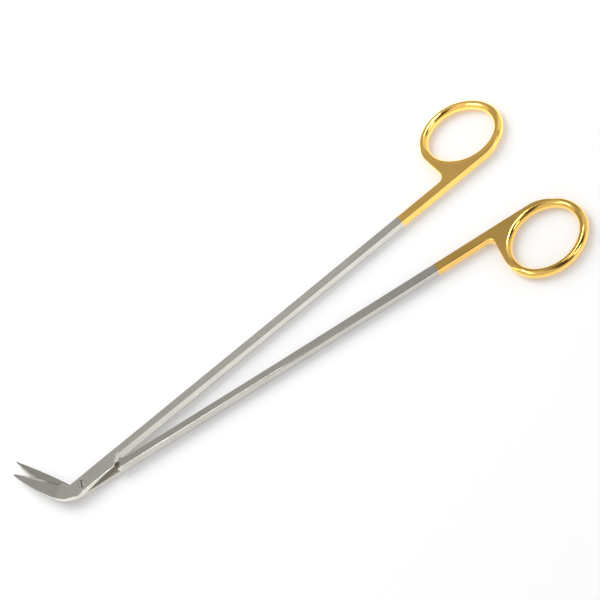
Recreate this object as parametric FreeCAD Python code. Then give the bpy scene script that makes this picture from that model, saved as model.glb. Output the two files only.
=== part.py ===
import FreeCAD, Part
import math
import os
from FreeCAD import Vector

# Potts scissors, 250 mm long, for vascular work. Two forged steel halves cross at a slotted
# pivot screw. The blades turn aside from the shanks at the joint, each carries a hard cutting
# strip, and the shanks end in polished oval finger rings. Lengths are in millimetres, angles
# in degrees. The origin is on the pivot axis, in the plane that the scissors lie on. +X runs
# to the rings along the line between the shanks, +Z points out of the screw head, and both
# blades turn towards +Y. The top half has the screw head and the ring on the +Y side.

# Opening
half_opening = 4.17         # turn of each half from the closed position

# Joint
joint_thick = 4.8
joint_half_width = 3.3
lap_gap = 0.04              # between the two lapped faces
lap_reach = 15.4            # pivot to the outer corner of the lap's slanted end
lap_slant = 50.0            # slanted end against the shank
lap_hollow = 2.0            # radius where the slanted end runs into the shank
lap_tail = 0.57             # end of that hollow to the end of the thickened lap
shoulder_gap = 0.8          # lap end to the other half's shoulder when closed
edge_round = 0.3            # softened outer edges of the joint
lap_skin = 0.02             # the joint stands this much proud of the shank

# Blade
bend_ahead = 6.9            # pivot to the point where the blade line leaves the shank line
bend_angle = 58.2           # blade line against the shank line
bend_radius = 13.0          # outside of the bend
blade_reach = 32.8          # bend point to the tip
blade_outer = 3.35          # blade line to the side on the outside of the bend
blade_inner = 3.15          # blade line to the side on the inside of the bend
grind_lead = 0.2            # end of the bend to where the grinding starts
belly_lead = 0.5            # start of grinding to where the outer side curves in
inner_bulge = 0.42          # rise of the curved inner side over its chord
tip_height = 0.6            # height of the spine at the tip
shoulder_height = 0.75      # height at the upper line of the cutting bevel
bevel_width = 0.75          # width of the cutting bevel
edge_land = 0.06            # thickness left at the cutting edge
tip_blunt = 0.25            # the point stops this far short of the ideal tip

# Cutting strip
strip_width = 1.2
strip_width_tip = 0.35
strip_thick = 0.65
strip_lead = 1.0            # start of grinding to the strip's near end
strip_stop = 2.0            # strip's far end short of the tip

# Shank
shank_inset = 0.15          # inner side of the shank to the middle line when closed
shank_start = 11.0          # the shank begins inside the lap
shank_width_joint = 3.13
shank_width_waist = 3.6
shank_width_grip = 3.6
shank_waist = 95.0          # pivot to the thinnest place
waist_thick = 3.5
shank_round = 0.6           # rounding of the outer long edges
shank_break = 0.12          # chamfer of the crisp inner long edges

# Handle
grip_start = 168.0          # pivot to the line where the plating starts
handle_start = 187.5        # start of the web behind the ring
ring_width = 3.7            # ring wire, seen from above
ring_thick = 3.9            # ring wire, seen from the side
ring_hole_long = 28.6
ring_hole_short = 23.6
ring_end_radius = 12.0      # middle line of the ring at the ends of its long axis
ring_centre = 210.0         # pivot to the ring's centre along the shank
ring_tilt = 15.0            # the ring's far end leans to the middle line
web_sink = 0.02             # faces of the web lie this much under the crest of the wire
web_lip = 0.05              # the web's straight sides stand this much clear of the wire
web_tuck = 0.15             # rim of the web inside the wire, past its middle line
crisp_fade = 52.0           # the shank's inner edge fades out this far round the ring
neck_fade = 42.0            # the neck's rounded edge fades out this far round the ring
neck_lean = 4.0             # the neck leans towards the shank's end
notch_radius = 3.0          # hollow between shank and neck

# Pivot screw
head_radius = 1.68
head_height = 1.15
bearing_radius = 1.2
thread_radius = 0.95
running_gap = 0.03          # around the head and the bearing
head_seat_gap = 0.02        # under the head
slot_width = 0.45
slot_depth = 0.65
slot_heading = 79.0         # slot against the shank line
rim_chamfer = 0.12

middle = joint_thick / 2
blade_heading = math.radians(180.0 - bend_angle)
along_blade = Vector(math.cos(blade_heading), math.sin(blade_heading), 0)
across_blade = Vector(-math.sin(blade_heading), math.cos(blade_heading), 0)
bend_point = Vector(-bend_ahead, 0, 0)
bend_corner = -(joint_half_width + blade_outer * across_blade.y) / along_blade.y
bend_reach = bend_radius * math.tan(math.radians(bend_angle) / 2)
grind_start = bend_corner + bend_reach + grind_lead
belly_start = grind_start + belly_lead
strip_start = grind_start + strip_lead
hollow_x = lap_reach + (shank_inset + joint_half_width) / math.tan(math.radians(lap_slant))
hollow_reach = lap_hollow * math.tan(math.radians(lap_slant) / 2)
lap_root = hollow_x + hollow_reach + lap_tail
half_wire = ring_width / 2
web_thick = ring_thick - 2 * web_sink
tiny = 1e-6                 # for telling whether two places are the same
wire_middle = ring_thick / 2
UP = Vector(0, 0, 1)


def line(a, b):
    return Part.LineSegment(a, b).toShape()


def arc(a, b, c):
    return Part.Arc(a, b, c).toShape()


def flat(edges):
    return Part.Face(Part.Wire(Part.__sortEdges__(edges)))


def slab(edges, low, high):
    """Upright solid between two heights over a closed outline."""
    face = flat(edges)
    face.translate(Vector(0, 0, low))
    return face.extrude(Vector(0, 0, high - low))


def polygon(points):
    return [line(a, b) for a, b in zip(points, points[1:] + points[:1])]


def in_blade(u, v, z=0.0):
    """Place u along the blade line and v across it, towards the outside of the bend."""
    return bend_point + along_blade * u + across_blade * v + UP * z


def mirrored(shape):
    return shape.mirror(Vector(0, 0, 0), Vector(0, 1, 0))


# Blade outline
def outer_side(u):
    run = blade_reach - belly_start
    radius = (run ** 2 + blade_outer ** 2) / (2 * blade_outer)
    if u <= belly_start:
        return blade_outer
    return blade_outer - radius + math.sqrt(radius ** 2 - (u - belly_start) ** 2)


def crook_u():
    """Distance along the blade line to the sharp inner corner of the bend."""
    return (joint_half_width + blade_inner * across_blade.y) / along_blade.y


def inner_side(u):
    run = blade_reach - crook_u()
    share = (u - crook_u()) / run
    return -blade_inner * (1 - share) - 4 * inner_bulge * share * (1 - share)


def blade_section(u, side):
    """Ground section of a blade. Spine on one side, cutting edge on the other."""
    share = (u - grind_start) / (blade_reach - grind_start)
    full = middle - lap_gap / 2
    spine_high = full - (full - tip_height) * share ** 1.4
    low_high = shoulder_height - (shoulder_height - edge_land) * 0.5 * share ** 2
    shoulder_high = low_high + (full - low_high) * (1 - share) ** 6
    land_high = edge_land + (full - edge_land) * (1 - share) ** 30
    spine = outer_side(u) if side > 0 else inner_side(u)
    cut = inner_side(u) if side > 0 else outer_side(u)
    bevel = min(bevel_width, 0.45 * abs(spine - cut))
    inward = cut + math.copysign(bevel, spine - cut)
    corners = [(spine, 0), (spine, spine_high), (inward, min(shoulder_high, spine_high)),
               (cut, land_high), (cut, 0)]
    base = middle + side * lap_gap / 2
    points = [in_blade(u, v, base + side * high) for v, high in corners]
    return Part.Wire(polygon(points))


def blade(side):
    run = blade_reach - tip_blunt - grind_start
    shares = [0, 0.03, 0.08, 0.18, 0.32, 0.5, 0.68, 0.84, 1]
    sections = [blade_section(grind_start + run * share, side) for share in shares]
    return Part.makeLoft(sections, True, False)


def strip_block(side):
    """Space of the cutting strip along the cutting edge."""
    cut = inner_side if side > 0 else outer_side
    away = -1 if side > 0 else 1
    first = strip_start
    last = blade_reach - strip_stop
    half_way = (first + last) / 2
    near = in_blade(first, cut(first) - away * strip_width)
    mid = in_blade(half_way, cut(half_way) - away * strip_width * 0.9)
    far = in_blade(last, cut(last) - away * strip_width_tip)
    clear = away * blade_outer
    far_out = in_blade(last, cut(last) + clear)
    near_out = in_blade(first, cut(first) + clear)
    edges = [arc(near, mid, far), line(far, far_out), line(far_out, near_out),
             line(near_out, near)]
    base = middle + side * lap_gap / 2
    return slab(edges, min(base, base + side * strip_thick), max(base, base + side * strip_thick))


# Lap
def slant_x(y, inset):
    """Slanted lap end of the half that narrows towards -Y, moved out by inset."""
    slope = math.tan(math.radians(lap_slant))
    return lap_reach + (y + joint_half_width) / slope + inset / math.sin(math.radians(lap_slant))


def bend_edges():
    """Outer bend between the lap's edge and the blade's outer side."""
    corner = in_blade(bend_corner, blade_outer)
    start = corner + Vector(bend_reach, 0, 0)
    end = corner + along_blade * bend_reach
    centre = start + Vector(0, bend_radius, 0)
    middle_way = (corner - centre).normalize() * bend_radius + centre
    root = in_blade(grind_start, blade_outer)
    return start, [arc(start, middle_way, end), line(end, root)], root


def lap(side):
    """Wide half-thickness part round the pivot, as far as the start of the grinding."""
    start, bend, root_out = bend_edges()
    root_in = in_blade(grind_start, inner_side(grind_start))
    crook = in_blade(crook_u(), -blade_inner)
    slant = Vector(math.cos(math.radians(lap_slant)), math.sin(math.radians(lap_slant)), 0)
    corner = Vector(hollow_x, shank_inset, 0)
    before = corner - slant * hollow_reach
    after = corner + Vector(hollow_reach, 0, 0)
    centre = after - Vector(0, lap_hollow, 0)
    between = (corner - centre).normalize() * lap_hollow + centre
    end_low = Vector(lap_root, shank_inset, 0)
    end_high = Vector(lap_root, joint_half_width, 0)
    tip = Vector(lap_reach, -joint_half_width, 0)
    tail = [tip, before, between, after, end_low, end_high]
    if side < 0:
        tail = [Vector(p.x, -p.y, 0) for p in tail]
    tip, before, between, after, end_low, end_high = tail
    edges = bend + [line(root_out, root_in), line(root_in, crook)]
    edges += [line(tip, before), arc(before, between, after), line(after, end_low),
              line(end_low, end_high)]
    if side > 0:
        edges += [line(crook, end_high), line(start, tip)]
    else:
        edges += [line(crook, tip), line(start, end_high)]
    base = middle + side * lap_gap / 2
    outside = middle + side * middle
    body = slab(edges, min(base, outside), max(base, outside))
    return soften(body, outside)


def soften(body, height):
    """Round the edges of the outer face, apart from those where other parts join on."""
    picked = []
    for edge in body.Edges:
        box = edge.BoundBox
        if abs(box.ZMin - height) > tiny or abs(box.ZMax - height) > tiny:
            continue
        mid = edge.valueAt((edge.FirstParameter + edge.LastParameter) / 2)
        blade_end = abs((mid - bend_point).dot(along_blade) - grind_start) < tiny
        if blade_end or abs(mid.x - lap_root) < tiny:
            continue
        picked.append(edge)
    return body.makeFillet(edge_round, picked)


def shoulder_cut(side):
    """What is taken from the shank so that the other half's lap fits under or over it."""
    far = 3 * joint_half_width
    points = [Vector(shank_start - 1, -far, 0), Vector(slant_x(far, shoulder_gap), -far, 0),
              Vector(slant_x(-far, shoulder_gap), far, 0), Vector(shank_start - 1, far, 0)]
    face = middle + side * lap_gap / 2
    below = (-1.0, face) if side > 0 else (face, joint_thick + 1.0)
    block = slab(polygon(points), *below)
    return block if side > 0 else mirrored(block)


# Shank and handle, drawn for the half whose ring is on the +Y side
def middle_height(x):
    share = (x - shank_start) / (grip_start - shank_start)
    return middle + (wire_middle - middle) * min(share, 1.0)


def bar_section(x, width, thick, rounding):
    """Upright section of the shank, chamfered on its inner side and rounded outside."""
    low_y = shank_inset
    high_y = shank_inset + width
    low_z = middle_height(x) - thick / 2
    high_z = low_z + thick
    flat_y = high_y - rounding
    share = rounding * (1 - math.sin(math.radians(45)))
    low_arc = arc(Vector(x, flat_y, low_z), Vector(x, high_y - share, low_z + share),
                  Vector(x, high_y, low_z + rounding))
    high_arc = arc(Vector(x, high_y, high_z - rounding), Vector(x, high_y - share, high_z - share),
                   Vector(x, flat_y, high_z))
    inner = [Vector(x, flat_y, high_z), Vector(x, low_y + shank_break, high_z),
             Vector(x, low_y, high_z - shank_break), Vector(x, low_y, low_z + shank_break),
             Vector(x, low_y + shank_break, low_z), Vector(x, flat_y, low_z)]
    outer = line(Vector(x, high_y, low_z + rounding), Vector(x, high_y, high_z - rounding))
    return Part.Wire([line(a, b) for a, b in zip(inner, inner[1:])] + [low_arc, outer, high_arc])


def shank():
    joint_bar = (shank_width_joint, joint_thick - 2 * lap_skin, edge_round)
    waist = (shank_width_waist, waist_thick, shank_round)
    grip = (shank_width_grip, web_thick, shank_round)
    spans = [(shank_start, joint_bar, shank_waist, waist), (shank_waist, waist, grip_start, grip),
             (grip_start, grip, handle_start, grip)]
    return [Part.makeLoft([bar_section(x0, *near), bar_section(x1, *far)], True, True)
            for x0, near, x1, far in spans]


def ring_oval():
    """Centre and radius of the ring's four tangent arcs, each with its span of directions."""
    long_half = ring_hole_long / 2 + half_wire
    short_half = ring_hole_short / 2 + half_wire
    end = ring_end_radius
    side = ((long_half - end) ** 2 + short_half ** 2 - end ** 2) / (2 * (short_half - end))
    tilt = math.radians(-ring_tilt)
    to_end = Vector(math.cos(tilt), math.sin(tilt), 0)
    to_side = Vector(-math.sin(tilt), math.cos(tilt), 0)
    height = shank_inset + web_lip + half_wire + side - (side - short_half) * math.cos(tilt)
    centre = Vector(ring_centre, height, 0)
    split = math.atan2(side - short_half, long_half - end)
    half_turn = math.pi
    far_end = (centre + to_end * (long_half - end), end, tilt - split, tilt + split)
    top_side = (centre - to_side * (side - short_half), side, tilt + split,
                tilt + half_turn - split)
    near_end = (centre - to_end * (long_half - end), end, tilt + half_turn - split,
                tilt + half_turn + split)
    low_side = (centre + to_side * (side - short_half), side, tilt - half_turn + split,
                tilt - split)
    return far_end, top_side, near_end, low_side


def on_arc(bend, turn, grow=0.0):
    """Point at a direction on one arc of the ring, moved out from the middle line."""
    return bend[0] + Vector(math.cos(turn), math.sin(turn), 0) * (bend[1] + grow)


def run(bend, begin, end, grow=0.0):
    return arc(on_arc(bend, begin, grow), on_arc(bend, (begin + end) / 2, grow),
               on_arc(bend, end, grow))


def wire_section(place, sideways):
    """Upright oval section of the ring wire, in an inner and an outer half."""
    across, upright = sideways * half_wire, UP * wire_middle
    place = place + upright
    corners = (across, upright) if half_wire > wire_middle else (upright, across)
    oval = Part.Ellipse(place + corners[0], place + corners[1], place)
    quarter = math.pi / 2
    first = quarter if half_wire > wire_middle else 0.0
    halves = [Part.ArcOfEllipse(oval, first + 2 * quarter * k, first + 2 * quarter * (k + 1))
              for k in (0, 1)]
    return Part.Face(Part.Wire([half.toShape() for half in halves]))


def bent_wire(bend):
    """Ring wire along one arc."""
    centre, radius, begin, end = bend
    outward = Vector(math.cos(begin), math.sin(begin), 0)
    section = wire_section(centre + outward * radius, outward)
    return section.revolve(centre, UP, math.degrees(end - begin))


def tangent_arc(start, heading, end):
    """Arc that leaves its start along a heading."""
    step = end - start
    side = (step - heading * step.dot(heading)).normalize()
    radius = step.Length ** 2 / (2 * step.dot(side))
    centre = start + side * radius
    halfway = (start - centre + end - centre).normalize() * radius
    return arc(start, centre + halfway, end)


def neck_side(near_end, lean):
    """Rounded side from the wire down the neck, round the notch and along the shank."""
    neck_turn = math.pi + lean
    upwards = Vector(-math.sin(lean), math.cos(lean), 0)
    top = on_arc(near_end, neck_turn, half_wire + web_lip)
    blend = on_arc(near_end, neck_turn - math.radians(neck_fade),
                   shank_round + web_sink - web_tuck)
    shank_side = shank_inset + shank_width_grip
    corner = top - upwards * ((top.y - shank_side) / upwards.y)
    reach = notch_radius * math.tan((math.pi / 2 + lean) / 2)
    notch_top = corner + upwards * reach
    notch_foot = corner - Vector(reach, 0, 0)
    centre = notch_foot + Vector(0, notch_radius, 0)
    between = centre + (corner - centre).normalize() * notch_radius
    back = Vector(handle_start, shank_side, 0)
    return blend, back, [tangent_arc(top, upwards, blend), line(top, notch_top),
                         arc(notch_top, between, notch_foot), line(notch_foot, back)]


def web(oval):
    """Flat web between shank, neck and ring, with the shank's crisp inner edge."""
    far_end, top_side, near_end, low_side = oval
    low_turn = -math.pi / 2
    fade_turn = low_turn + math.radians(crisp_fade)
    blend_turn = math.pi + math.radians(neck_lean - neck_fade)
    start = Vector(handle_start, shank_inset, 0)
    low_point = on_arc(low_side, low_turn, half_wire + web_lip)
    fade = on_arc(far_end, fade_turn, web_tuck)
    crisp = [line(start, low_point), tangent_arc(low_point, Vector(1, 0, 0), fade)]
    blend, back, rounded = neck_side(near_end, math.radians(neck_lean))
    rim = [line(fade, on_arc(far_end, fade_turn, -web_tuck)),
           run(far_end, fade_turn, far_end[2], -web_tuck),
           run(low_side, low_side[3], low_side[2], -web_tuck),
           run(near_end, near_end[3], blend_turn, -web_tuck),
           line(on_arc(near_end, blend_turn, -web_tuck), blend)]
    plate = slab(crisp + rim + rounded + [line(back, start)],
                 wire_middle - web_thick / 2, wire_middle + web_thick / 2)
    plate = plate.makeChamfer(shank_break, level_edges(plate, crisp))
    return plate.makeFillet(shank_round, level_edges(plate, rounded))


def level_edges(solid, outline):
    """Edges of an upright solid's end faces that lie over parts of its outline."""
    found = []
    for edge in solid.Edges:
        mid = edge.valueAt((edge.FirstParameter + edge.LastParameter) / 2)
        level = edge.BoundBox.ZLength < tiny
        foot = Part.Vertex(mid.x, mid.y, 0)
        if level and any(foot.distToShape(part)[0] < tiny for part in outline):
            found.append(edge)
    return found


def handle():
    """Ring, neck and web."""
    oval = ring_oval()
    whole = web(oval)
    for bend in oval:
        whole = whole.fuse(bent_wire(bend))
    return whole


# Pivot
def pivot_screw():
    top = joint_thick
    under_head = top - head_height
    lap_face = middle - lap_gap / 2
    head = Part.makeCylinder(head_radius, head_height, Vector(0, 0, under_head))
    rims = [edge for edge in head.Edges if abs(edge.BoundBox.ZMin - top) < tiny]
    head = head.makeChamfer(rim_chamfer, rims)
    bearing = Part.makeCylinder(bearing_radius, under_head - lap_face, Vector(0, 0, lap_face))
    thread = Part.makeCylinder(thread_radius, lap_face)
    slot = Part.makeBox(4 * head_radius, slot_width, slot_depth,
                        Vector(-2 * head_radius, -slot_width / 2, top - slot_depth))
    slot.rotate(Vector(0, 0, 0), UP, slot_heading)
    return head.fuse([bearing, thread]).cut(slot).removeSplitter()


def pivot_hole(side):
    if side < 0:
        return Part.makeCylinder(thread_radius, joint_thick)
    seat = joint_thick - head_height - head_seat_gap
    bore = Part.makeCylinder(bearing_radius + running_gap, joint_thick)
    sink = Part.makeCylinder(head_radius + running_gap, joint_thick, Vector(0, 0, seat))
    return bore.fuse(sink)


# Halves
def half(side):
    """One forged half and its cutting strip, in the closed position."""
    bars = shank() + [handle()]
    if side < 0:
        bars = [mirrored(bar) for bar in bars]
    bars[0] = bars[0].cut(shoulder_cut(side))
    ground = blade(side)
    block = strip_block(side)
    body = lap(side).fuse(ground.cut(block))
    for bar in bars:
        body = body.fuse(bar)
    body = body.cut(pivot_hole(side)).removeSplitter()
    return body, ground.common(block)


def opened(shape, side):
    turned = shape.copy()
    turned.rotate(Vector(0, 0, 0), UP, side * half_opening)
    return turned


def main():
    os.makedirs("parts", exist_ok=True)
    top_half, top_strip = half(1)
    bottom_half, bottom_strip = half(-1)
    nodes = {
        "top_half": opened(top_half, 1),
        "bottom_half": opened(bottom_half, -1),
        "top_cutting_strip": opened(top_strip, 1),
        "bottom_cutting_strip": opened(bottom_strip, -1),
        "pivot_screw": opened(pivot_screw(), -1),
    }
    for name, shape in nodes.items():
        solids = shape.Solids
        print(name, len(solids), "solid", shape.isValid(), round(shape.Volume, 2))
        solids[0].exportStep(os.path.join("parts", name + ".step"))


main()
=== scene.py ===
import math

import bpy
from mathutils import Matrix, Vector

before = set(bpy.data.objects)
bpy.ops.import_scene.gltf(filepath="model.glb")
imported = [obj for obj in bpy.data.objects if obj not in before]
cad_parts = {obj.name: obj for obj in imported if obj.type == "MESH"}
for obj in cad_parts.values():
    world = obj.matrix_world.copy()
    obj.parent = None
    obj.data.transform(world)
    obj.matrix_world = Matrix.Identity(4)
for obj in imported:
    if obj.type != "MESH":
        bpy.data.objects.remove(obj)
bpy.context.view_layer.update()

bl_info = {
    "name": "Angled Vascular Scissors",
    "version": (1, 0, 0),
    "blender": (4, 5, 0),
    "location": "3D View > Sidebar > Scissors",
    "description": "Dresses the scissors' CAD solids in satin steel, gilt and ground finishes",
    "category": "Object",
}

HALF_OPENING = math.radians(4.17)
FRAME_PIXELS = 600.0
NOISE_LOW = 0.3             # noise stays mostly between these two
NOISE_HIGH = 0.7
BRUSH_DEPTH = 0.000004
GRIND_DEPTH = 0.000003
TURNING_DEPTH = 0.0000005

# Tones of the painted shade in gaps, of the floor with its painted glow in reflections, and of the
# surround
PAINTED_GAP_SHADE = (0.03, 0.03, 0.03, 1.0)
FLOOR_DARK = (0.93, 0.93, 0.93, 1.0)
FLOOR_LIGHT = (0.95, 0.95, 0.95, 1.0)
NO_GLOW = (0.0, 0.0, 0.0, 1.0)
MIRRORED_GLOW = (0.66, 0.67, 0.68, 1.0)
EVEN_TONE = (0.80, 0.80, 0.80, 1.0)
OPEN_TONE = (0.95, 0.95, 0.95, 1.0)
ROOM_TONE = (0.11, 0.09, 0.07, 1.0)
WALL_TONE = (0.49, 0.49, 0.49, 1.0)
PALE_TONE = (0.68, 0.68, 0.68, 1.0)
CARD_TONE = (5.0, 5.0, 5.0, 1.0)

# Soft round patches of the surround, which polished metal mirrors. Each has its lean from
# straight up towards +Y and towards +X, the angle out to which it is full and the angle past
# which it is gone, in degrees.
ROOM_PATCHES = ((-7.0, 12.0, 14.0, 24.0), (-38.0, 16.0, 16.0, 27.0), (-25.0, 35.0, 17.0, 28.0))
PALE_PATCHES = ((33.0, -5.5, 1.5, 6.5),)
WHITE_CARDS = ((-7.0, -33.0, 4.0, 9.0), (-34.0, 40.0, 6.0, 11.0), (-10.0, 15.0, 3.0, 7.0))
# The back wall fades in between these two values of a direction's Y
WALL_START = 0.36
WALL_FULL = 0.50

# Lights, in metres and watts
KEY_PLACE = (-0.12, 0.85, 0.75)
KEY_TARGET = (0.11, 0.0, 0.0)
KEY_SIZE = (0.78, 0.78)
KEY_POWER = 7.2
STRIPS_ALONG_X = {"blade end strip light": -0.32, "ring end strip light": 0.54}
STRIP_BACK = 0.30
STRIP_HEIGHT = 1.30
STRIP_SIZE = (0.40, 0.26)
STRIP_POWER = 2.7


# Settings
class SteelSettings(bpy.types.PropertyGroup):
    colour: bpy.props.FloatVectorProperty(
        name="Steel", description="Colour of the satin steel", subtype="COLOR", size=3,
        default=(0.60, 0.573, 0.517), min=0.0, max=1.0)
    worn_colour: bpy.props.FloatVectorProperty(
        name="Rubbed steel", description="Colour where edges are rubbed bright", subtype="COLOR",
        size=3, default=(0.70, 0.69, 0.67), min=0.0, max=1.0)
    roughness: bpy.props.FloatProperty(
        name="Roughness", description="Mean roughness of the satin finish", default=0.16,
        min=0.0, max=1.0, subtype="FACTOR")
    brush_width: bpy.props.FloatProperty(
        name="Brush line", description="Width of one brush line", default=0.00012,
        unit="LENGTH", precision=5)
    edge_width: bpy.props.FloatProperty(
        name="Rubbed edge", description="Width of the bright rub along an edge", default=0.00018,
        unit="LENGTH", precision=5)


class GiltSettings(bpy.types.PropertyGroup):
    colour: bpy.props.FloatVectorProperty(
        name="Gilt", description="Colour of the plating", subtype="COLOR", size=3,
        default=(0.95, 0.595, 0.155), min=0.0, max=1.0)
    roughness: bpy.props.FloatProperty(
        name="Roughness", description="Roughness of the polished plating", default=0.08,
        min=0.0, max=1.0, subtype="FACTOR")
    line: bpy.props.FloatProperty(
        name="Plating line", description="Pivot to the plating's crisp edge along the shank",
        default=0.168, unit="LENGTH", precision=4)


class StageSettings(bpy.types.PropertyGroup):
    elevation: bpy.props.FloatProperty(
        name="Elevation", description="Height of the camera above the horizon",
        default=math.radians(57.19), subtype="ANGLE")
    azimuth: bpy.props.FloatProperty(
        name="Azimuth", description="Turn of the camera about the upright axis",
        default=math.radians(6.97), subtype="ANGLE")
    roll: bpy.props.FloatProperty(
        name="Roll", description="Turn of the picture, anticlockwise",
        default=math.radians(41.77), subtype="ANGLE")
    distance: bpy.props.FloatProperty(
        name="Distance", description="Camera to the point it looks at", default=0.5697,
        unit="LENGTH", precision=4)
    aim: bpy.props.FloatVectorProperty(
        name="Aim", description="Point the camera looks at", subtype="XYZ", unit="LENGTH",
        default=(0.11558, 0.01158, 0.0024), precision=4)
    focal_pixels: bpy.props.FloatProperty(
        name="Focal length", description="Focal length in pixels of the photograph's frame",
        default=1398.6)


# Node helpers
def node(tree, kind, **values):
    made = tree.nodes.new(kind)
    for name, value in values.items():
        setattr(made, name, value)
    return made


def link(tree, source, target):
    tree.links.new(source, target)


def maths(tree, operation, first, second=None, clamp=False):
    made = node(tree, "ShaderNodeMath", operation=operation, use_clamp=clamp)
    for socket, value in zip(made.inputs, (first, second)):
        if value is None:
            continue
        if isinstance(value, (int, float)):
            socket.default_value = value
        else:
            link(tree, value, socket)
    return made.outputs[0]


def mapped(tree, value, low, high, new_low, new_high):
    made = node(tree, "ShaderNodeMapRange")
    for socket, number in zip(made.inputs[1:5], (low, high, new_low, new_high)):
        socket.default_value = number
    link(tree, value, made.inputs[0])
    return made.outputs[0]


def mixed_colour(tree, factor, first, second):
    made = node(tree, "ShaderNodeMix", data_type="RGBA")
    for socket, value in ((made.inputs[0], factor), (made.inputs[6], first),
                          (made.inputs[7], second)):
        if isinstance(value, (tuple, int, float)):
            socket.default_value = value
        else:
            link(tree, value, socket)
    return made.outputs[2]


def noise(tree, coordinates, scale, detail=3.0, roughness=0.5):
    made = node(tree, "ShaderNodeTexNoise")
    made.inputs["Scale"].default_value = scale
    made.inputs["Detail"].default_value = detail
    made.inputs["Roughness"].default_value = roughness
    link(tree, coordinates, made.inputs["Vector"])
    return made.outputs["Fac"]


def spread(tree, value, new_low=0.0, new_high=1.0):
    """Noise stretched from the range that it mostly keeps to a new one."""
    return mapped(tree, value, NOISE_LOW, NOISE_HIGH, new_low, new_high)


def new_group(name, inputs, outputs):
    tree = bpy.data.node_groups.new(name, "ShaderNodeTree")
    for label, kind, value in inputs:
        socket = tree.interface.new_socket(name=label, in_out="INPUT", socket_type=kind)
        socket.default_value = value
    for label, kind in outputs:
        tree.interface.new_socket(name=label, in_out="OUTPUT", socket_type=kind)
    return tree, node(tree, "NodeGroupInput"), node(tree, "NodeGroupOutput")


# Shared effects
def brushed_grain():
    """Fine lines along one direction, with broader drifts of tone."""
    tree, given, made = new_group(
        "brushed grain",
        [("Line Width", "NodeSocketFloat", 0.00012), ("Heading", "NodeSocketFloat", 0.0),
         ("Stretch", "NodeSocketFloat", 40.0)],
        [("Lines", "NodeSocketFloat"), ("Drift", "NodeSocketFloat")])
    place = node(tree, "ShaderNodeTexCoord").outputs["Object"]
    turned = node(tree, "ShaderNodeVectorRotate", rotation_type="Z_AXIS")
    link(tree, place, turned.inputs["Vector"])
    link(tree, given.outputs["Heading"], turned.inputs["Angle"])
    parts = node(tree, "ShaderNodeSeparateXYZ")
    link(tree, turned.outputs[0], parts.inputs[0])
    per_line = maths(tree, "DIVIDE", 1.0, given.outputs["Line Width"])
    across = maths(tree, "MULTIPLY", parts.outputs["Y"], per_line)
    height = maths(tree, "MULTIPLY", parts.outputs["Z"], per_line)
    along = maths(tree, "MULTIPLY", parts.outputs["X"],
                  maths(tree, "DIVIDE", per_line, given.outputs["Stretch"]))
    joined = node(tree, "ShaderNodeCombineXYZ")
    for socket, value in zip(joined.inputs, (along, across, height)):
        link(tree, value, socket)
    link(tree, noise(tree, joined.outputs[0], 1.0, 4.0, 0.6), made.inputs["Lines"])
    link(tree, noise(tree, place, 90.0, 2.0), made.inputs["Drift"])
    return tree


def rubbed_edges():
    """Mask that is 1 where a convex edge is rubbed bright and 0 on open faces."""
    tree, given, made = new_group(
        "rubbed edges",
        [("Width", "NodeSocketFloat", 0.00018), ("Amount", "NodeSocketFloat", 1.0)],
        [("Mask", "NodeSocketFloat")])
    rounded = node(tree, "ShaderNodeBevel", samples=6)
    link(tree, given.outputs["Width"], rounded.inputs["Radius"])
    true_normal = node(tree, "ShaderNodeNewGeometry").outputs["Normal"]
    agree = node(tree, "ShaderNodeVectorMath", operation="DOT_PRODUCT")
    link(tree, rounded.outputs[0], agree.inputs[0])
    link(tree, true_normal, agree.inputs[1])
    flat = 0.995
    full_edge = 0.86
    turned = mapped(tree, agree.outputs["Value"], flat, full_edge, 0.0, 1.0)
    place = node(tree, "ShaderNodeTexCoord").outputs["Object"]
    broken = mapped(tree, noise(tree, place, 900.0, 3.0), 0.35, 0.65, 0.35, 1.0)
    worn = maths(tree, "MULTIPLY", turned, broken)
    link(tree, maths(tree, "MULTIPLY", worn, given.outputs["Amount"], True), made.inputs["Mask"])
    return tree


def plating_edge():
    """Mask of the plating: 1 on the handle side of a crisp line across each shank."""
    tree, given, made = new_group(
        "plating edge",
        [("Line", "NodeSocketFloat", 0.168), ("Softness", "NodeSocketFloat", 0.00008)],
        [("Mask", "NodeSocketFloat")])
    place = node(tree, "ShaderNodeTexCoord").outputs["Object"]
    parts = node(tree, "ShaderNodeSeparateXYZ")
    link(tree, place, parts.inputs[0])
    forward = maths(tree, "MULTIPLY", parts.outputs["X"], math.cos(HALF_OPENING))
    sideways = maths(tree, "MULTIPLY", maths(tree, "ABSOLUTE", parts.outputs["Y"]),
                     math.sin(HALF_OPENING))
    along = maths(tree, "ADD", forward, sideways)
    waver = 0.00012
    wavy = maths(tree, "MULTIPLY", maths(tree, "SUBTRACT", noise(tree, place, 1500.0), 0.5), waver)
    past = maths(tree, "SUBTRACT", maths(tree, "ADD", along, wavy), given.outputs["Line"])
    link(tree, maths(tree, "ADD", maths(tree, "DIVIDE", past, given.outputs["Softness"]), 0.5,
                     True), made.inputs["Mask"])
    return tree


def crevice_shade():
    """Mask of painted shade: 1 on open faces, falling to 0 in narrow gaps and slots."""
    tree, given, made = new_group(
        "crevice shade",
        [("Reach", "NodeSocketFloat", 0.0012), ("Dark", "NodeSocketFloat", 0.2),
         ("Clear", "NodeSocketFloat", 0.5)], [("Mask", "NodeSocketFloat")])
    cover = node(tree, "ShaderNodeAmbientOcclusion", samples=8)
    link(tree, given.outputs["Reach"], cover.inputs["Distance"])
    shade = node(tree, "ShaderNodeMapRange")
    link(tree, cover.outputs["AO"], shade.inputs["Value"])
    link(tree, given.outputs["Dark"], shade.inputs["From Min"])
    link(tree, given.outputs["Clear"], shade.inputs["From Max"])
    link(tree, shade.outputs[0], made.inputs["Mask"])
    return tree


GROUPS = {}


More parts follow.
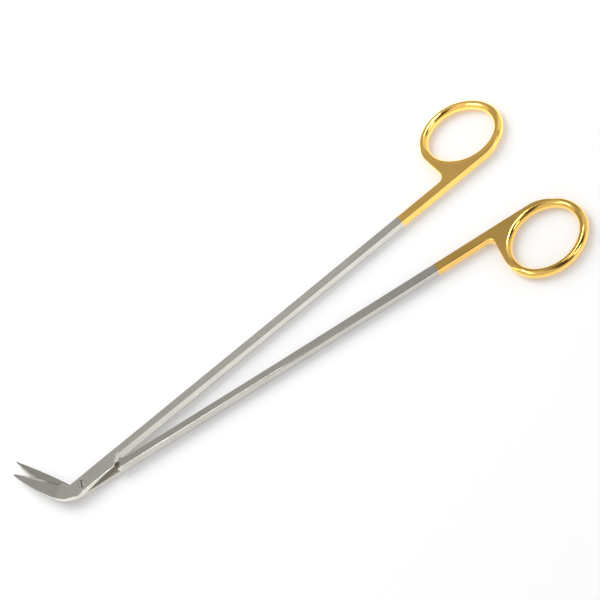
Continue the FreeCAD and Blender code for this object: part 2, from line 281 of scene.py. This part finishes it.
def placed(tree, builder, **values):
    """One shared effect placed in a material, with its own values."""
    if builder.__name__ not in GROUPS:
        GROUPS[builder.__name__] = builder()
    made = node(tree, "ShaderNodeGroup")
    made.node_tree = GROUPS[builder.__name__]
    for label, value in values.items():
        made.inputs[label.replace("_", " ")].default_value = value
    return made


# Materials
def new_material(name):
    material = bpy.data.materials.new(name)
    material.use_nodes = True
    shader = material.node_tree.nodes["Principled BSDF"]
    shader.inputs["Metallic"].default_value = 1.0
    return material, material.node_tree, shader


def with_alpha(colour, factor=1.0):
    return (*(min(1.0, part * factor) for part in colour), 1.0)


def drifted(tree, factor, colour, dark, light):
    """A colour that drifts between a darker and a lighter share of itself."""
    return mixed_colour(tree, factor, with_alpha(colour, dark), with_alpha(colour, light))


def bumped(tree, shader, height, distance):
    bump = node(tree, "ShaderNodeBump")
    bump.inputs["Distance"].default_value = distance
    link(tree, height, bump.inputs["Height"])
    link(tree, bump.outputs[0], shader.inputs["Normal"])


def gilt_steel(name, shade):
    """Satin steel up to the plating line and polished gilt beyond it; shade scales every colour,
    and below 1 it is painted shade.
    """
    steel = bpy.context.scene.scissors_steel
    gilt = bpy.context.scene.scissors_gilt
    material, tree, shader = new_material(name)
    grain = placed(tree, brushed_grain, Line_Width=steel.brush_width)
    edges = placed(tree, rubbed_edges, Width=steel.edge_width, Amount=0.35)
    plating = placed(tree, plating_edge, Line=gilt.line)
    lines = grain.outputs["Lines"]
    drift = grain.outputs["Drift"]
    tone = drifted(tree, spread(tree, drift), steel.colour, 0.93 * shade, 1.05 * shade)
    lined = mixed_colour(tree, spread(tree, lines, 0.0, 0.35), tone,
                         with_alpha(steel.colour, 0.8 * shade))
    bright = mixed_colour(tree, edges.outputs[0], lined, with_alpha(steel.worn_colour, shade))
    gold_tone = drifted(tree, spread(tree, drift), gilt.colour, 0.95 * shade, 1.04 * shade)
    # Painted shade: the steel turns dark in narrow gaps and corners
    gaps = placed(tree, crevice_shade, Reach=0.0009, Dark=0.08, Clear=0.36)
    bright = mixed_colour(tree, gaps.outputs[0], PAINTED_GAP_SHADE, bright)
    colour = mixed_colour(tree, plating.outputs[0], bright, gold_tone)
    link(tree, colour, shader.inputs["Base Color"])
    satin = mapped(tree, lines, 0.25, 0.75, steel.roughness - 0.04, steel.roughness + 0.05)
    polish = spread(tree, drift, gilt.roughness - 0.02, gilt.roughness + 0.03)
    rough = node(tree, "ShaderNodeMix", data_type="FLOAT")
    link(tree, plating.outputs[0], rough.inputs[0])
    link(tree, satin, rough.inputs[2])
    link(tree, polish, rough.inputs[3])
    link(tree, rough.outputs[0], shader.inputs["Roughness"])
    relief = maths(tree, "MULTIPLY", lines,
                   maths(tree, "SUBTRACT", 1.0, maths(tree, "MULTIPLY", plating.outputs[0], 0.9)))
    bumped(tree, shader, relief, BRUSH_DEPTH)
    return material


def carbide():
    """Ground hard metal of the cutting strips, with grinding lines across the edge."""
    steel = bpy.context.scene.scissors_steel
    material, tree, shader = new_material("ground carbide")
    grain = placed(tree, brushed_grain, Line_Width=0.00006, Heading=math.radians(40.0),
                   Stretch=12.0)
    edges = placed(tree, rubbed_edges, Width=0.00008)
    lined = drifted(tree, spread(tree, grain.outputs["Lines"]), steel.colour, 0.95, 1.12)
    bright = mixed_colour(tree, edges.outputs[0], lined, with_alpha(steel.worn_colour))
    link(tree, bright, shader.inputs["Base Color"])
    link(tree, spread(tree, grain.outputs["Lines"], 0.2, 0.34), shader.inputs["Roughness"])
    bumped(tree, shader, grain.outputs["Lines"], GRIND_DEPTH)
    return material


def turned_steel():
    """Screw steel with fine rings from turning on its flat ends, and painted shade in its slot."""
    steel = bpy.context.scene.scissors_steel
    material, tree, shader = new_material("turned screw steel")
    grain = placed(tree, brushed_grain, Line_Width=0.0001)
    edges = placed(tree, rubbed_edges, Width=0.0001)
    place = node(tree, "ShaderNodeTexCoord").outputs["Object"]
    rings = node(tree, "ShaderNodeTexWave", wave_type="RINGS", rings_direction="Z")
    rings.inputs["Scale"].default_value = 900.0
    rings.inputs["Distortion"].default_value = 1.5
    link(tree, place, rings.inputs["Vector"])
    tone = drifted(tree, rings.outputs["Fac"], steel.colour, 0.93, 1.02)
    bright = mixed_colour(tree, edges.outputs[0], tone, with_alpha(steel.worn_colour))
    # Painted shade: the slot and other narrow places turn dark
    slot_shade = placed(tree, crevice_shade, Reach=0.0009, Dark=0.45, Clear=0.80)
    bright = mixed_colour(tree, slot_shade.outputs[0], PAINTED_GAP_SHADE, bright)
    link(tree, bright, shader.inputs["Base Color"])
    link(tree, spread(tree, grain.outputs["Lines"], 0.14, 0.22), shader.inputs["Roughness"])
    bumped(tree, shader, rings.outputs["Fac"], TURNING_DEPTH)
    return material


# Pieces
def dress(name, material):
    """Gives a CAD node its material."""
    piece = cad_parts[name]
    piece.data.materials.clear()
    piece.data.materials.append(material)


class SCISSORS_OT_halves(bpy.types.Operator):
    """Finish the two forged halves in satin steel with gilt handles"""
    bl_idname = "scissors.halves"
    bl_label = "Halves"

    def execute(self, context):
        dress("top_half", gilt_steel("top steel with gilt handle", 1.0))
        # Painted shade: the bottom half's colours are darkened to 0.78 of the top half's
        dress("bottom_half", gilt_steel("bottom steel with gilt handle in painted shade", 0.78))
        return {"FINISHED"}


class SCISSORS_OT_strips(bpy.types.Operator):
    """Finish the two cutting strips in ground carbide"""
    bl_idname = "scissors.strips"
    bl_label = "Cutting strips"

    def execute(self, context):
        material = carbide()
        for name in ("top_cutting_strip", "bottom_cutting_strip"):
            dress(name, material)
        return {"FINISHED"}


class SCISSORS_OT_screw(bpy.types.Operator):
    """Finish the pivot screw in turned steel"""
    bl_idname = "scissors.screw"
    bl_label = "Pivot screw"

    def execute(self, context):
        dress("pivot_screw", turned_steel())
        return {"FINISHED"}


# Stage
def floor():
    """Plain pale floor with a gentle unevenness in its paint, and a painted glow that only
    reflections see.
    """
    size = 3.0
    mesh = bpy.data.meshes.new("floor")
    mesh.from_pydata([(-size, -size, 0), (size, -size, 0), (size, size, 0), (-size, size, 0)],
                     [], [(0, 1, 2, 3)])
    ground = bpy.data.objects.new("floor", mesh)
    bpy.context.scene.collection.objects.link(ground)
    material, tree, shader = new_material("pale floor")
    shader.inputs["Metallic"].default_value = 0.0
    shader.inputs["Roughness"].default_value = 0.9
    shader.inputs["Specular IOR Level"].default_value = 0.1
    place = node(tree, "ShaderNodeTexCoord").outputs["Object"]
    tone = mixed_colour(tree, noise(tree, place, 4.0), FLOOR_DARK, FLOOR_LIGHT)
    link(tree, tone, shader.inputs["Base Color"])
    # Painted glow: the floor emits light only towards reflected rays, brightening its reflection
    # in the metal
    mirrored = node(tree, "ShaderNodeLightPath").outputs["Is Glossy Ray"]
    link(tree, mixed_colour(tree, mirrored, NO_GLOW, MIRRORED_GLOW),
         shader.inputs["Emission Color"])
    shader.inputs["Emission Strength"].default_value = 1.0
    mesh.materials.append(material)


def soft_light(name, place, target, size, power):
    data = bpy.data.lights.new(name, "AREA")
    data.shape = "RECTANGLE"
    data.size, data.size_y = size
    data.energy = power
    lamp = bpy.data.objects.new(name, data)
    lamp.location = place
    lamp.rotation_mode = "QUATERNION"
    lamp.rotation_quaternion = (Vector(target) - Vector(place)).to_track_quat("-Z", "Y")
    bpy.context.scene.collection.objects.link(lamp)
    return lamp


def camera(settings):
    data = bpy.data.cameras.new("camera")
    data.sensor_width = 36.0
    data.lens = settings.focal_pixels / FRAME_PIXELS * data.sensor_width
    data.clip_start = 0.01
    data.clip_end = 20.0
    eye = bpy.data.objects.new("camera", data)
    back = Vector((math.sin(settings.azimuth) * math.cos(settings.elevation),
                   -math.cos(settings.azimuth) * math.cos(settings.elevation),
                   math.sin(settings.elevation)))
    level = (-back).to_track_quat("-Z", "Y").to_matrix().to_4x4()
    turn = Matrix.Rotation(-settings.roll, 4, "Z")
    place = Vector(settings.aim) + back * settings.distance
    eye.matrix_world = Matrix.Translation(place) @ level @ turn
    bpy.context.scene.collection.objects.link(eye)
    bpy.context.scene.camera = eye


def towards(lean, side):
    """Direction leaning from straight up towards +Y and towards +X, in degrees."""
    return Vector((math.sin(math.radians(side)) * math.cos(math.radians(lean)),
                   math.sin(math.radians(lean)),
                   math.cos(math.radians(lean)) * math.cos(math.radians(side)))).normalized()


def patch(tree, direction, inner, outer):
    """Mask of a round soft-edged patch of the surround, with its two angles in degrees."""
    place = node(tree, "ShaderNodeTexCoord").outputs["Generated"]
    agree = node(tree, "ShaderNodeVectorMath", operation="DOT_PRODUCT")
    link(tree, place, agree.inputs[0])
    agree.inputs[1].default_value = direction
    made = node(tree, "ShaderNodeMapRange", interpolation_type="SMOOTHSTEP")
    for socket, number in zip(made.inputs[1:5], (math.cos(math.radians(outer)),
                                                 math.cos(math.radians(inner)), 0.0, 1.0)):
        socket.default_value = number
    link(tree, agree.outputs["Value"], made.inputs[0])
    return made.outputs[0]


def patched(tree, tone, patches, colour):
    """The surround's tone with round patches of one colour laid over it."""
    for lean, side, inner, outer in patches:
        tone = mixed_colour(tree, patch(tree, towards(lean, side), inner, outer), tone, colour)
    return tone


def surround():
    """Even white surround, in which polished metal mirrors a studio with its white cards."""
    world = bpy.data.worlds.new("studio")
    world.use_nodes = True
    tree = world.node_tree
    place = node(tree, "ShaderNodeTexCoord").outputs["Generated"]
    parts = node(tree, "ShaderNodeSeparateXYZ")
    link(tree, place, parts.inputs[0])
    tone = patched(tree, OPEN_TONE, ROOM_PATCHES, ROOM_TONE)
    wall = mapped(tree, parts.outputs["Y"], WALL_START, WALL_FULL, 0.0, 1.0)
    tone = mixed_colour(tree, wall, tone, WALL_TONE)
    tone = patched(tree, tone, PALE_PATCHES, PALE_TONE)
    tone = patched(tree, tone, WHITE_CARDS, CARD_TONE)
    mirrored = node(tree, "ShaderNodeLightPath").outputs["Is Glossy Ray"]
    tone = mixed_colour(tree, mirrored, EVEN_TONE, tone)
    link(tree, tone, tree.nodes["Background"].inputs["Color"])
    tree.nodes["Background"].inputs["Strength"].default_value = 1.0
    bpy.context.scene.world = world


class SCISSORS_OT_stage(bpy.types.Operator):
    """Make the camera, the pale floor and the soft studio light"""
    bl_idname = "scissors.stage"
    bl_label = "Stage"

    def execute(self, context):
        camera(context.scene.scissors_stage)
        floor()
        surround()
        key = soft_light("key light", KEY_PLACE, KEY_TARGET, KEY_SIZE, KEY_POWER)
        key.visible_glossy = False
        for name, along in STRIPS_ALONG_X.items():
            strip = soft_light(name, (along, STRIP_BACK, STRIP_HEIGHT), (along, 0.0, 0.0),
                               STRIP_SIZE, STRIP_POWER)
            strip.visible_diffuse = False
        view = context.scene.view_settings
        view.view_transform = "Standard"
        view.look = "None"
        return {"FINISHED"}


class SCISSORS_PT_panel(bpy.types.Panel):
    bl_idname = "SCISSORS_PT_panel"
    bl_label = "Scissors"
    bl_space_type = "VIEW_3D"
    bl_region_type = "UI"
    bl_category = "Scissors"

    def draw(self, context):
        layout = self.layout
        for settings in (context.scene.scissors_steel, context.scene.scissors_gilt,
                         context.scene.scissors_stage):
            box = layout.box()
            for name in settings.__annotations__:
                box.prop(settings, name)
        for operator in OPERATORS:
            layout.operator(operator.bl_idname)


OPERATORS = (SCISSORS_OT_stage, SCISSORS_OT_halves, SCISSORS_OT_strips, SCISSORS_OT_screw)
SETTINGS = {"scissors_steel": SteelSettings, "scissors_gilt": GiltSettings,
            "scissors_stage": StageSettings}


def register():
    for name, settings in SETTINGS.items():
        bpy.utils.register_class(settings)
        setattr(bpy.types.Scene, name, bpy.props.PointerProperty(type=settings))
    for operator in OPERATORS:
        bpy.utils.register_class(operator)
    bpy.utils.register_class(SCISSORS_PT_panel)


def unregister():
    bpy.utils.unregister_class(SCISSORS_PT_panel)
    for operator in reversed(OPERATORS):
        bpy.utils.unregister_class(operator)
    for name, settings in SETTINGS.items():
        delattr(bpy.types.Scene, name)
        bpy.utils.unregister_class(settings)


def main():
    register()
    bpy.ops.scissors.stage()
    bpy.ops.scissors.halves()
    bpy.ops.scissors.strips()
    bpy.ops.scissors.screw()


if __name__ == "__main__":
    main()
